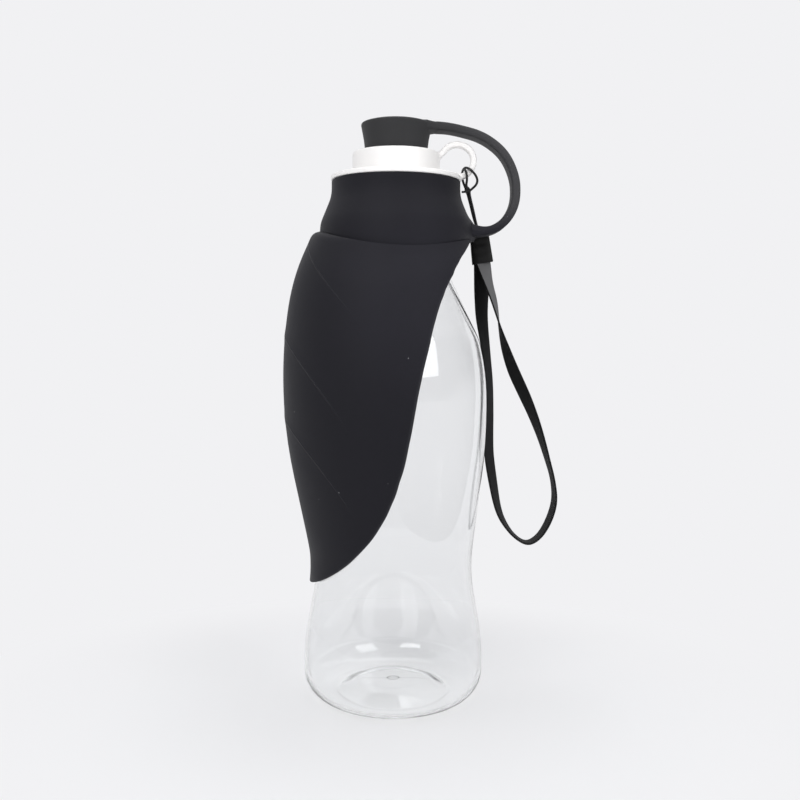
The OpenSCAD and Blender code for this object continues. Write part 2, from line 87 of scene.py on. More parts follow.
def arc(a, b, c, r, step):
    """Points, about step degrees apart, of the arc that rounds corner b between a and c with radius r."""
    a, b, c = Vector(a), Vector(b), Vector(c)
    u, v = (a - b).normalized(), (c - b).normalized()
    half = math.acos(max(-1, min(1, u.dot(v)))) / 2
    reach = r / math.tan(half)
    centre = b + (u + v).normalized() * r / math.sin(half)
    first, last = b + u * reach - centre, b + v * reach - centre
    start = math.atan2(first.y, first.x)
    turn = (math.atan2(last.y, last.x) - start + 3 * math.pi) % (2 * math.pi) - math.pi
    n = max(4, math.ceil(abs(math.degrees(turn)) / step))
    return [(centre.x + r * math.cos(start + turn * i / n), centre.y + r * math.sin(start + turn * i / n))
            for i in range(n + 1)]


def rounded(corners, step):
    """Line through corners (radius, height, fillet) with every fillet drawn in steps of that angle."""
    line = []
    for i, (x, y, r) in enumerate(corners):
        line += [(x, y)] if r == 0 else arc(corners[i - 1][:2], (x, y), corners[i + 1][:2], r, step)
    return line


def refined(line, longest):
    """The same line with no span longer than longest."""
    out = [line[0]]
    for a, b in zip(line, line[1:]):
        n = max(1, math.ceil(math.dist(a, b) / longest))
        out += [(a[0] + (b[0] - a[0]) * k / n, a[1] + (b[1] - a[1]) * k / n) for k in range(1, n + 1)]
    return out


def turned(profile, steps, closed=False):
    """Solid of revolution about Z from (radius, height) points. closed joins the last to the first."""
    bm = bmesh.new()
    verts = [bm.verts.new((r, 0, z)) for r, z in profile]
    edges = [bm.edges.new(pair) for pair in zip(verts, verts[1:])]
    if closed:
        edges.append(bm.edges.new((verts[-1], verts[0])))
    bmesh.ops.spin(bm, geom=verts + edges, cent=(0, 0, 0), axis=(0, 0, 1), dvec=(0, 0, 0),
                   angle=2 * math.pi, steps=steps, use_merge=True, use_duplicate=False)
    bmesh.ops.remove_doubles(bm, verts=bm.verts, dist=0.0005)
    bmesh.ops.recalc_face_normals(bm, faces=bm.faces)
    return bm


def catmull(points, steps):
    """Smooth curve through the points, steps to a span. Points are tuples of any length."""
    out = []
    last = len(points) - 1
    for i in range(last):
        a, b = points[max(i - 1, 0)], points[i]
        c, d = points[i + 1], points[min(i + 2, last)]
        for k in range(steps):
            t = k / steps
            out.append(tuple(0.5 * (2 * q + (r - p) * t + (2 * p - 5 * q + 4 * r - s) * t * t
                                    + (3 * q - p - 3 * r + s) * t ** 3)
                             for p, q, r, s in zip(a, b, c, d)))
    return out + [tuple(points[last])]


def smooth_curve(points, steps):
    """A Catmull-Rom curve whose inner points are then averaged twice, to take out small kinks."""
    line = catmull(points, steps)
    for _ in range(2):
        line = [line[0]] + [tuple((p + 2 * q + r) / 4 for p, q, r in zip(a, b, c))
                            for a, b, c in zip(line, line[1:], line[2:])] + [line[-1]]
    return line


def tube(rings):
    """Skin over rings of points: a grid is made, bent to the rings, closed along its seam and capped.
    Its UV runs once round the ring in u and from first to last ring, in metres, in v."""
    n, m = len(rings[0]), len(rings)
    bm = bmesh.new()
    made = bmesh.ops.create_grid(bm, x_segments=n, y_segments=m - 1, size=1)
    order = sorted(made["verts"], key=lambda v: (round(v.co.y, 6), round(v.co.x, 6)))
    uv = bm.loops.layers.uv.verify()
    run = [0.0]
    for a, b in zip(rings, rings[1:]):
        ca = sum((Vector(p) for p in a), Vector()) / n
        cb = sum((Vector(p) for p in b), Vector()) / n
        run.append(run[-1] + (cb - ca).length * MM)
    place = {}
    for index, vert in enumerate(order):
        row, column = divmod(index, n + 1)
        place[vert] = (column / n, run[row])
        vert.co = rings[row][column % n]
    for face in {f for v in order for f in v.link_faces}:
        for loop in face.loops:
            loop[uv].uv = place[loop.vert]
    ends = [[order[row * (n + 1) + k] for k in range(n)] for row in (0, m - 1)]
    bmesh.ops.remove_doubles(bm, verts=order, dist=0.0001)
    for ring in ends:
        alive = [v for v in ring if v.is_valid]
        around = [e for e in {e for v in alive for e in v.link_edges}
                  if e.is_boundary and all(q in alive for q in e.verts)]
        bmesh.ops.contextual_create(bm, geom=around or alive)
    bmesh.ops.recalc_face_normals(bm, faces=bm.faces)
    return bm


# ---- shape of the bottle, the collar and the leaf ---------------------------------------------

# The part's source's sizes, in millimetres and degrees. R is a radius, T and WALL are thicknesses, and
# Z, LOW, HIGH and TOP are heights. FOLD_GAP alone is the scene's own: it is 0.3 in the source
FOOT_R, HEEL, FOOT_Z = 36.3, 10.6, 22.5
WAIST_R, WAIST_LOW, WAIST_HIGH = 32, 47, 57
BELLY_R, BELLY_LOW, BELLY_HIGH = 37.8, 102.5, 130
SHOULDER_R, SHOULDER_Z = 34.6, 145
NECK_R, NECK_Z, NECK_TOP, NECK_WALL = 17.6, 181, 208.5, 1.6
RING_R, RING_LOW, RING_HIGH = 19.4, NECK_Z + 3.6, NECK_Z + 5
PUSH_H, PUSH_R, WALL = 4.2, 21, 1.0
CONTACT = FOOT_R - HEEL
ROOF, FLANGE_TOP, SPOUT_TOP = 210, 212, 221.6
LIP_R, LIP_Z, BAND_R, BAND_Z, COLLAR_BORE, COLLAR_WALL = 31, 192.2, 26.5, 203.5, 24.2, 2.3
FOLD_R, FOLD_LOW, FOLD_X, FOLD_GAP = 84, 181, 4.6, 0.03
FOLD_C = FOLD_LOW + FOLD_R
LEAF_ROOT_R = LIP_R - 0.4
TIP_Z, LEAF_GAP, ROOT_T, TIP_T = 46, 1, 1.9, 1.2
KEEL_RISE, KEEL_Z = 6.1, 150
WRAP, WRAP_GAIN, FLARE = 96.5, 28, 41.5
# The scene's own: the leaf's upper edge rolls in under the collar's lip at the keel, and in front it is
# tucked in and lifted to that lip
LEAF_ROLL, LEAF_TUCK, LEAF_LIFT = 2.2, 1.22, 0.22


def flank(inset):
    """Corners of the bottle's outline from heel to shoulder, drawn in by inset."""
    return [(FOOT_R - inset, inset * 1.2, HEEL - inset), (FOOT_R - inset, FOOT_Z, 100),
            (WAIST_R - inset, WAIST_LOW, 55), (WAIST_R - inset, WAIST_HIGH, 75),
            (BELLY_R - inset, BELLY_LOW, 220), (BELLY_R - inset, BELLY_HIGH, 100),
            (SHOULDER_R - inset, SHOULDER_Z, 26)]


OUTER = rounded([(CONTACT, 0, 0)] + flank(0) + [
    (NECK_R, NECK_Z, 8), (NECK_R, RING_LOW, 0.2), (RING_R, RING_LOW, 0.3), (RING_R, RING_HIGH, 0.3),
    (NECK_R, RING_HIGH, 0.2), (NECK_R, NECK_TOP, 0.5), (NECK_R - 1, NECK_TOP, 0)], 3)
FLANK = [(z, r) for r, z in OUTER if z < SHOULDER_Z]


def flank_r(z):
    """Outer radius of the bottle at height z."""
    if z <= FLANK[0][0]:
        return FLANK[0][1]
    for (za, ra), (zb, rb) in zip(FLANK, FLANK[1:]):
        if za <= z <= zb:
            return ra + (rb - ra) * (z - za) / max(zb - za, 1e-6)
    return FLANK[-1][1]


def fold_z(x, gap):
    """Height of the fold between collar and leaf at x, gap below its circle."""
    return FOLD_C - math.sqrt((FOLD_R + gap) ** 2 - (x - FOLD_X) ** 2)


def leaf_top(angle, r):
    """Height of the leaf's upper edge at that angle and radius."""
    return fold_z(-r * math.cos(math.radians(angle)), FOLD_GAP)


EDGE_TOP = leaf_top(WRAP + WRAP_GAIN + FLARE, LEAF_ROOT_R)
BELLY_Z = (BELLY_LOW + BELLY_HIGH) / 2
# How far the leaf's side edge lies from the source's formula: height, degrees
EDGE_TRIM = [(46, 0), (62, 2.2), (70, 2.8), (78, 2.4), (86, 1.6), (94, 0.5), (108, -0.5), (124, -0.3), (132, 0),
             (146, 0.9), (154, 1.3), (161, 1.1), (165, 0.3), (169, -0.4), (173, -2.2), (177, -3.2), (180, -2.6),
             (184, -0.8), (190, 0)]


def between(table, x):
    """Smoothly eased value of a table of (x, value) at x."""
    for (xa, a), (xb, b) in zip(table, table[1:]):
        if x <= xb:
            t = max(0, (x - xa) / (xb - xa))
            return a + (b - a) * t * t * (3 - 2 * t)
    return table[-1][1]


def leaf_half_angle(z):
    """Half of the angle that the leaf wraps round the bottle at height z: the source's formula, trimmed."""
    t = min(1, max(0, (z - TIP_Z) / (EDGE_TOP - TIP_Z)))
    return (WRAP * (1 - max(0, 1 - 2 * t) ** 2.2) ** 0.53 + WRAP_GAIN * (max(0, t - 0.25) / 0.75) ** 1.8
            + FLARE * max(0, (t - 0.71) / 0.29) ** 3 + between(EDGE_TRIM, z))


def leaf_flank(z, top):
    """Radius of the leaf's inner face: along the bottle up to the belly, then in an arch to the fold."""
    if z < BELLY_Z:
        return flank_r(z) + LEAF_GAP
    t = (z - BELLY_Z) / (top - BELLY_Z)
    return LEAF_ROOT_R + (BELLY_R + LEAF_GAP - LEAF_ROOT_R) * (1 - t * t)


KEEL_FOOT, KEEL_HEAD = WAIST_HIGH, leaf_top(0, LEAF_ROOT_R) + 3.2


def keel_out(z):
    """How far the keel stands out past the flank at height z."""
    if z < KEEL_FOOT:
        return 0
    if z < KEEL_Z:
        return KEEL_RISE * math.sin(math.pi / 2 * ((z - KEEL_FOOT) / (KEEL_Z - KEEL_FOOT)) ** 1.15)
    return KEEL_RISE * math.cos(math.pi / 2 * min(1, (z - KEEL_Z) / (KEEL_HEAD - KEEL_Z)) ** 1.4)


# Veins of the leaf: height on the keel, drop at 30 and at 60 degrees from it
VEINS = [(188.5, 11.2, 28.3), (147.0, 7.5, 28.6), (113.0, 6.0, 26.7)]
VEIN_RISE, VEIN_WIDTH, VEIN_END = 0.2, 1.8, 62


def vein_drop(at30, at60):
    """Slope and bend of a vein whose drop at angle a is slope * a + bend * a * a."""
    bend = (at60 - 2 * at30) / 1800
    return at30 / 30 - bend * 30, bend


def vein(a, z):
    """How far the veins' fine ridges stand out at angle a and height z."""
    a = abs(a)
    out = 0
    for top, at30, at60 in VEINS:
        slope, bend = vein_drop(at30, at60)
        off = (z - (top - slope * a - bend * a * a)) * 0.82
        fade = max(0, 1 - (a / VEIN_END) ** 3) * min(1, a / 4 + 0.3)
        out += VEIN_RISE * fade * math.exp(-(off / VEIN_WIDTH) ** 2)
    return out


def leaf_point(s, u, depth):
    """Point of the leaf, and its angle from the keel: s from the fold, 0, to the tip, 1; u from side to
    side, -1 to 1; depth from the outer face, 0, to the inner face, 1."""
    fan = u * (WRAP + WRAP_GAIN + FLARE)
    top = leaf_top(fan, LEAF_ROOT_R + ROOT_T * (1 - depth) - LEAF_ROLL * (1 + math.cos(math.radians(fan))) / 3)
    level = EDGE_TOP + (TIP_Z - EDGE_TOP) * s
    z = level + (top - EDGE_TOP) * (1 - s) ** 3
    a = u * leaf_half_angle(level)
    t = ROOT_T + (TIP_T - ROOT_T) * s
    # shares from 0 to 1: towards the keel, away from it, in the last millimetres and near the upper edge
    lean = (1 + math.cos(math.radians(a))) / 2
    front = between([(26, 0), (72, 1), (180, 1)], abs(a))
    q = min(1, max(0, (z - top + LEAF_ROLL) / LEAF_ROLL))
    near = between([(0, 1), (16, 0)], top - z)
    r = (leaf_flank(z, top) + keel_out(z) * lean + t * (1 - depth)
         - LEAF_ROLL * lean * (1 - front) * (1 - math.sqrt(1 - q * q)) * (1 - 0.35 * depth)
         - LEAF_TUCK * front * near * (1 - 0.55 * depth))
    z += LEAF_LIFT * front * max(0, near * 8 - 7)
    r += vein(a, z) * (1 if depth < 0.5 else -0.6)
    return (-r * math.cos(math.radians(a)), r * math.sin(math.radians(a)), z), a


# ---- lanyard --------------------------------------------------------------------------------------

CORD_R = 0.5
# From the sleeve up through the eye and down again
CORD_ROUTE = [
    (35.4, 8.8, 189.6), (34.5, 8.4, 191.8), (33.6, 7.4, 194.4), (32.8, 6.1, 197.4),
    (31.8, 4.6, 201), (30.9, 3.4, 204.2), (30.6, 2.6, 206.4), (31.6, 1.9, 207.5),
    (33, 0.6, 208.8), (33.5, -0.9, 210.4), (32.8, -2.1, 212.2), (31.4, -2.8, 213.8),
    (29.9, -2.9, 215), (28.5, -2.2, 215.5), (27.7, -0.4, 215), (27.4, 1.4, 213.9),
    (27.5, 2.5, 212), (28.1, 2.8, 209.8), (29, 2.8, 207.6), (30, 3.6, 204.8),
    (31.2, 5, 200.9), (32.4, 6.8, 196.8), (33.6, 8.4, 193.6), (34.9, 9.8, 191.4),
    (35.7, 10.2, 189.6)]
# Second strand, in front of the eye
BIGHT_ROUTE = [
    (28, -2, 215.2), (28.6, -2.8, 213.8), (29, -3, 212), (29.1, -2.4, 210.4), (29, -0.8, 208.8), (29.4, 1, 207.4)]
# The middle of the overhand knot, and the cut end that it leaves
KNOT_X, KNOT_Y, KNOT_Z = 29.7, 2.2, 206.9
KNOT_TAIL = [(29.2, 1.6, 206.4), (28.4, 1.3, 206.1), (27.8, 1.2, 206), (27.2, 1.2, 206)]
# The source's points. The fourth value is the direction of the webbing's width, in degrees from +X:
# its twist is the scene's own
WEBBING_ROUTE = [
    (36.6, 10.4, 177, 5), (36.7, 11.4, 171, 12), (36.7, 13, 163, 28),
    (37, 13.4, 153.5, 40), (38.7, 12.9, 140, 55), (40.1, 12.5, 126, 59),
    (40.3, 12.4, 113, 57), (40.1, 12.3, 103, 53), (40.3, 12.2, 95.5, 52),
    (41.8, 12, 85, 56), (44.2, 12, 73, 66), (47.4, 12, 66, 76),
    (52, 12, 60.6, 86), (57, 12, 58.4, 92), (62, 12, 61.6, 96),
    (66, 12, 68.5, 99), (68.1, 12, 76.4, 98), (67.4, 11.9, 85, 96),
    (65, 11.7, 94, 100), (62.2, 11.5, 103.2, 108), (58.8, 11.2, 112.5, 119),
    (54.9, 11, 121.5, 129), (50.5, 10.6, 131, 130), (47.1, 9.6, 140, 116),
    (44.3, 8.2, 149.5, 91), (41.8, 7.1, 160, 67), (39, 7.4, 169, 52),
    (37, 8.6, 177, 24)]


def heading(line, i):
    """Direction of the line at its point i."""
    return (Vector(line[min(i + 1, len(line) - 1)]) - Vector(line[max(i - 1, 0)])).normalized()


def length_of(line):
    """Length in metres of a line in millimetres."""
    return sum(math.dist(a, b) for a, b in zip(line, line[1:])) * MM


def cord_rings(line, r, sides):
    """Rings round a line, turned from one to the next as little as its bends allow."""
    rings = []
    side = heading(line, 0).cross(Vector((0.35, 0.2, 0.9))).normalized()
    for i, p in enumerate(line):
        along = heading(line, i)
        side = (side - along * side.dot(along)).normalized()
        up = along.cross(side)
        turn = [2 * math.pi * k / sides for k in range(sides)]
        rings.append([Vector(p) + r * (side * math.cos(t) + up * math.sin(t)) for t in turn])
    return rings


def cord_piece():
    """Cord through the eye, with both ends in the crimped sleeve."""
    line = smooth_curve(CORD_ROUTE, 8)
    piece = new_piece("lanyard_loop", scaled(tube(cord_rings(line, CORD_R, 12))), 60)
    path = [[c * MM for c in p] for p in line]
    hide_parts("lanyard_cord")
    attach(piece, "cap")
    return piece


def webbing_piece():
    """Flat woven loop, with both ends in the crimped sleeve."""
    line = smooth_curve(WEBBING_ROUTE, 8)
    centre = [p[:3] for p in line]
    outline = [(x, -0.36) for x in (-3.2, -2.2, -1.1, 0, 1.1, 2.2, 3.2)] + [(3.46, -0.16), (3.46, 0.16)]
    outline += [(-x, -y) for x, y in outline]
    rings = []
    for i, p in enumerate(line):
        along = heading(centre, i)
        wide = Vector((math.cos(math.radians(p[3])), math.sin(math.radians(p[3])), 0))
        across = (wide - along * wide.dot(along)).normalized()
        thin = along.cross(across)
        rings.append([Vector(p[:3]) + across * x + thin * y for x, y in outline])
    piece = new_piece("wrist_webbing", scaled(tube(rings)), 60)
    path = [[c * MM for c in p] for p in centre]
    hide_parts("wrist_strap")
    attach(piece, "cap")
    return piece


def knot_piece():
    """Overhand knot that closes the cord's loop under the eye, with its cut tail."""
    line = []
    for i in range(97):
        t = 2 * math.pi * i / 96
        k = 0.62 + 0.26 * math.cos(3 * t)
        line.append((KNOT_X + 1.1 * k * math.cos(2 * t), KNOT_Y + 0.8 * math.sin(3 * t),
                     KNOT_Z + 1.25 * k * math.sin(2 * t)))
    rings = cord_rings(smooth_curve(line + KNOT_TAIL, 2), 0.46, 10)
    piece = new_piece("cord_knot", scaled(tube(rings)), 60)
    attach(piece, "cap")
    return piece


def bight_piece():
    """Second strand of the loop, which hangs in front of the eye."""
    rings = cord_rings(smooth_curve(BIGHT_ROUTE, 8), CORD_R, 12)
    piece = new_piece("cord_bight", scaled(tube(rings)), 60)
    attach(piece, "cap")
    return piece


lanyard_loop = cord_piece()
cord_knot = knot_piece()
cord_bight = bight_piece()
wrist_webbing = webbing_piece()

# ---- bottle -----------------------------------------------------------------------------------


def bottle_piece():
    """Wall of the bottle, turned: pushed-up base, outer face up to the lip, inner face down again."""
    inner = rounded([(0, PUSH_H + WALL * 1.2, 0), (PUSH_R - 7.5, PUSH_H + WALL * 1.05, 18),
                     (PUSH_R + 1.8, WALL * 1.15, 4)] + flank(WALL)
                    + [(NECK_R - NECK_WALL, NECK_Z + 1.5, 7), (NECK_R - NECK_WALL, NECK_TOP, 0.4),
                       (NECK_R - 1, NECK_TOP, 0)], 3)
    base = rounded([(0, PUSH_H, 0), (PUSH_R - 7.5, PUSH_H * 0.96, 18), (PUSH_R + 1, 0, 4), (CONTACT, 0, 0)], 3)
    profile = refined(base[:-1], 2.5) + refined(OUTER[1:], 2.5) + refined(inner[::-1], 2.5)[1:]
    piece = new_piece("bottle_body", scaled(turned(profile, 160)), 50)
    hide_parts("bottle")
    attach(piece, "bottle")
    return piece


# Turns and lead of the screw, and how many points draw one turn and the run-out at each end
THREAD_TURNS, THREAD_LEAD, THREAD_STEPS, THREAD_RUNOUT = 2.5, 4, 72, 12


def thread_piece(name, r_root, r_crest, z0, half, body):
    """Ridge of a screw thread, 2 * half high at its root, that runs out at both ends."""
    rings = []
    steps = int(THREAD_TURNS * THREAD_STEPS)
    for i in range(steps + 1):
        a = 2 * math.pi * i / THREAD_STEPS
        z = z0 + THREAD_LEAD * i / THREAD_STEPS
        ease = min(1, i / THREAD_RUNOUT, (steps - i) / THREAD_RUNOUT)
        crest = r_root + (r_crest - r_root) * ease
        out = 1 if r_crest > r_root else -1
        ring = []
        for r, dz in ((r_root - 0.25 * out, -half), (r_root, -half), (crest, -half * 0.35),
                      (crest, half * 0.35), (r_root, half), (r_root - 0.25 * out, half)):
            ring.append(Vector((r * math.cos(a), r * math.sin(a), z + dz)))
        rings.append(ring)
    piece = new_piece(name, scaled(tube(rings)), 25)
    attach(piece, body)
    return piece


bottle_body = bottle_piece()
neck_thread = thread_piece("neck_thread", NECK_R, 18.9, 192.2, 0.9, "bottle")

# ---- cap ----------------------------------------------------------------------------------------

# SPOUT_WALL_R is the spout's radius inside, under its deck; GUIDE is the tube that guides the stopper,
# GRIP the wall and its bead that hold the collar, SKIRT the threaded wall
SPOUT_R, SPOUT_BORE, SPOUT_WALL_R, DECK_Z = 18, 11, 16.4, 220
GUIDE_R, GUIDE_LOW, FLANGE_R = 12.6, 206, 26.8
GRIP_R, GRIP_BORE, GRIP_LOW, BEAD_R = 24.1, 22.5, 196, 24.9
SKIRT_R, SKIRT_BORE, SKIRT_LOW, SKIRT_RIBS = 20.85, 19.25, 190, 12
EYE_X, EYE_Z, EYE_R = 25.2, 218.6, 6.75


def cap_piece():
    """Flange, spout, deck, guide tube and skirts, turned as one moulding."""
    profile = rounded([
        (SPOUT_BORE, GUIDE_LOW, 0), (SPOUT_BORE, SPOUT_TOP, 0.5), (SPOUT_R, SPOUT_TOP, 0.9),
        (SPOUT_R, FLANGE_TOP, 0.6), (FLANGE_R, FLANGE_TOP, 0.7), (FLANGE_R, ROOF, 0.5),
        (GRIP_R, ROOF, 0.2), (GRIP_R, 200.6, 0.1), (BEAD_R, 200, 0.3), (BEAD_R, 199.6, 0.3),
        (GRIP_R, 199, 0.1), (GRIP_R, GRIP_LOW, 0.4), (GRIP_BORE, GRIP_LOW, 0.4), (GRIP_BORE, ROOF, 0.6),
        (SKIRT_R, ROOF, 0.6), (SKIRT_R, SKIRT_LOW, 0.4), (SKIRT_BORE, SKIRT_LOW, 0.4),
        (SKIRT_BORE, ROOF, 0.2), (SPOUT_WALL_R, ROOF, 0.3), (SPOUT_WALL_R, DECK_Z, 0.6),
        (GUIDE_R, DECK_Z, 0.6), (GUIDE_R, GUIDE_LOW, 0)], 12)
    piece = new_piece("cap_shell", scaled(turned(refined(profile, 4), 144, closed=True)), 30)
    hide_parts("screw_cap")
    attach(piece, "cap")
    return piece


def eye_piece():
    """Open eye: a rounded band that springs from the spout and ends on the flange's edge."""
    rings = []
    line = smooth_curve([(16.9, 0, 219.6), (17.8, 0, 220.8)] + [
        (EYE_X + EYE_R * math.cos(math.radians(a)), 0, EYE_Z + EYE_R * math.sin(math.radians(a)))
        for a in range(146, -103, -6)], 2)
    last = len(line) - 1
    for i, p in enumerate(line):
        out = heading(line, i).cross(Vector((0, -1, 0))).normalized()
        root = max(0, 1 - i / 6) ** 2 + max(0, 1 - (last - i) / 10) ** 2
        late = min(1, i / 40)
        centre = Vector(p) + out * 0.45 * root * late
        wide, deep, corner = 2.45 + 0.9 * root * late, 4.2 + 1.2 * root, 0.85
        ring = []
        for sx, sy, start in ((1, 1, 0), (-1, 1, 90), (-1, -1, 180), (1, -1, 270)):
            for turn in range(0, 91, 18):
                t = math.radians(start + turn)
                ring.append(centre + out * (sx * (wide / 2 - corner) + corner * math.cos(t))
                            + Vector((0, 1, 0)) * (sy * (deep / 2 - corner) + corner * math.sin(t)))
        rings.append(ring)
    piece = new_piece("cap_eye", scaled(tube(rings)), 50)
    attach(piece, "cap")
    return piece


def ribs_piece():
    """Ribs between the two skirts."""
    bm = bmesh.new()
    for i in range(SKIRT_RIBS):
        angle = math.radians(360 / SKIRT_RIBS * (i + 0.5))
        turn = Matrix.Rotation(angle, 4, "Z") @ Matrix.Translation((21.67, 0, 204.2))
        bmesh.ops.create_cube(bm, size=1, matrix=turn @ Matrix.Diagonal((2.1, 1.2, 12.4, 1)))
    piece = new_piece("cap_ribs", scaled(bm), 30)
    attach(piece, "cap")
    return piece


cap_shell = cap_piece()
cap_eye = eye_piece()
cap_ribs = ribs_piece()
cap_thread = thread_piece("cap_thread", 19.3, 18.2, 194.3, 0.7, "cap")

# ---- silicone: collar and leaf ------------------------------------------------------------------


def collar_piece():
    """The collar is turned, then its lip is drawn down to the curved fold."""
    lip_z = fold_z(-LIP_R, 0)
    lip = LIP_R + 0.2
    outside = rounded([(BAND_R - 1.4, ROOF, 0), (BAND_R, ROOF, 0.7), (BAND_R, BAND_Z, 16), (LIP_R, LIP_Z, 11),
                       (lip, lip_z, 0.06), (lip - COLLAR_WALL, lip_z, 0.9), (LIP_R - COLLAR_WALL, LIP_Z - 2.4, 3),
                       (COLLAR_BORE, GRIP_LOW, 2), (COLLAR_BORE, ROOF, 0)], 5)
    bm = turned(refined(outside, 1.2), 180, closed=True)
    for vert in bm.verts:
        x, y, z = vert.co
        r = math.hypot(x, y)
        share = min(1, max(0, (LIP_Z + 2 - z) / (LIP_Z + 2 - lip_z - 0.3)))
        if share > 0:
            end = fold_z(LIP_R * x / r, 0) - lip_z
            vert.co.z = z + end * share ** 1.5
        # web that runs out into the strap, and the lip's corner tucked in under it
        web = math.exp(-(y / 5.5) ** 2 - ((z - 191) / 3) ** 2) if x > 0 and r > 28 else 0
        tuck = between([(lip_z - 2, 1), (LIP_Z - 1.5, 0)], z) * between([(14, 0), (29, 1)], x) if r > 28 else 0
        vert.co.x = min(33.3, vert.co.x + 2.4 * web) - 1.2 * tuck
    piece = new_piece("collar_skin", scaled(bm), 50)
    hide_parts("sleeve_collar")
    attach(piece, "cap")
    return piece


def leaf_piece():
    """Outer and inner face of the leaf as two bent grids, joined along their edges and rounded there,
    but left sharp along the fold. The vertices' rim value marks the edge, where the material paints a highlight."""
    across, along = 200, 132
    bm = bmesh.new()
    rim = bm.verts.layers.float.new("rim")
    uv = bm.loops.layers.uv.verify()
    shells = []
    for depth in (0, 1):
        made = bmesh.ops.create_grid(bm, x_segments=across, y_segments=along, size=1)
        order = sorted(made["verts"], key=lambda v: (round(v.co.y, 6), round(v.co.x, 6)))
        place = {}
        for index, vert in enumerate(order):
            row, column = divmod(index, across + 1)
            s = row / along
            s = min(0.45 * s + 0.55 * (1 - math.cos(math.pi * s)) / 2, 0.9995)
            u = math.sin(math.pi / 2 * (2 * column / across - 1)) * 0.5 + (2 * column / across - 1) * 0.5
            point, a = leaf_point(s, u, depth)
            vert.co = point
            side = (1 - abs(u)) * math.radians(abs(leaf_half_angle(point[2]))) * 38
            vert[rim] = max(0, 1 - min(side, (1 - s) * 30) / 1.1)
            place[vert] = (a / 90, point[2] / 100)
        for face in {f for v in order for f in v.link_faces}:
            for loop in face.loops:
                loop[uv].uv = place[loop.vert]
        shells.append(order)
    bm.edges.ensure_lookup_table()
    loops = [e for e in bm.edges if e.is_boundary]
    skirt = bmesh.ops.bridge_loops(bm, edges=loops)
    fold = {v for order in shells for v in order[:across + 1]}
    for face in skirt["faces"]:
        for vert in face.verts:
            vert[rim] = 0 if vert in fold else 1
    cut = [e for e in loops if e.is_valid and not all(v in fold for v in e.verts)]
    bmesh.ops.bevel(bm, geom=cut, offset=0.38, offset_type="OFFSET", affect="EDGES", segments=3,
                    profile=0.5, material=-1, clamp_overlap=True)
    bmesh.ops.remove_doubles(bm, verts=bm.verts, dist=0.02)
    bmesh.ops.recalc_face_normals(bm, faces=bm.faces)
    piece = new_piece("leaf_skin", scaled(bm), 60)
    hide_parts("leaf_bowl")
    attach(piece, "leaf")
    return piece


collar_skin = collar_piece()
leaf_skin = leaf_piece()

# ---- stopper and carry strap ----------------------------------------------------------------------

STRAP_T, STRAP_W, STRAP_ROUND = 3.5, 10, 1.3
HEAD_TOP = SPOUT_TOP + 12.8
STRAP_Z = SPOUT_TOP + 10.3
STRAP_ROUTE = [
    (16.3, 0), (20, -0.1), (24, -0.6), (28.4, -1.6), (32, -2.6), (35.2, -3.9), (38.2, -5.6),
    (41, -7.6), (43.2, -9.7), (45, -12), (46.4, -14.4), (47.5, -16.9), (48.4, -19.6), (49, -22.4),
    (49.2, -25.3), (49.1, -28.3), (48.6, -31.2), (47.6, -34), (46.1, -36.6), (44.2, -38.8),
    (41.8, -40.7), (39, -42), (36, -42.5), (33.4, -42.5)]


def strap_section(point, along, wide, thick, line=0.0):
    """Rounded rectangle round a point. line raises a fine parting line along both edges."""
    corner = STRAP_ROUND
    out = Vector(along).cross(Vector((0, -1, 0))).normalized()
    ring = []
    for sx, sy, start in ((1, 1, 0), (-1, 1, 90), (-1, -1, 180), (1, -1, 270)):
        for a in range(0, 91, 15):
            t = math.radians(start + a)
            y = sx * (wide / 2 - corner) + corner * math.cos(t)
            h = sy * (thick / 2 - corner) + corner * math.sin(t)
            ring.append(Vector(point) + Vector((0, 1, 0)) * y + out * h)
        if start in (90, 270):
            for h, y in ((0.18, 0), (0.0, line), (-0.18, 0)):
                ring.append(Vector(point) + Vector((0, 1, 0)) * sx * (wide / 2 + y) + out * h * -sx)
    return ring


def strap_lift(x):
    """The strap leaves the head a little higher than its lug's middle, in line with the domed top."""
    return between([(4, 0.42), (14, 0.42), (27, 0.1)], x)


def strap_piece():
    """Strap from the stopper's lug over and down to the collar, where it widens and thickens."""
    line = smooth_curve([(x, 0, STRAP_Z + z + (strap_lift(x) if z > -6 else 0)) for x, z in STRAP_ROUTE]
                        + [(30.6, 0, STRAP_Z - 42.3)], 5)
    run = length_of(line) / MM
    rings = []
    done = 0
    for i, p in enumerate(line):
        done += math.dist(line[i - 1], p) if i else 0
        root = max(0, 1 - (run - done) / 9)
        lug = max(0, 1 - done / 6)
        flare = 1 + 0.28 * root ** 2
        rings.append(strap_section(p, heading(line, i), STRAP_W * flare,
                                   STRAP_T * (1 + 0.6 * root ** 2 + 0.06 * lug), 0.1))
    piece = new_piece("strap_band", scaled(tube(rings)), 60)
    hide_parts("carry_strap")
    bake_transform(piece)
    return piece


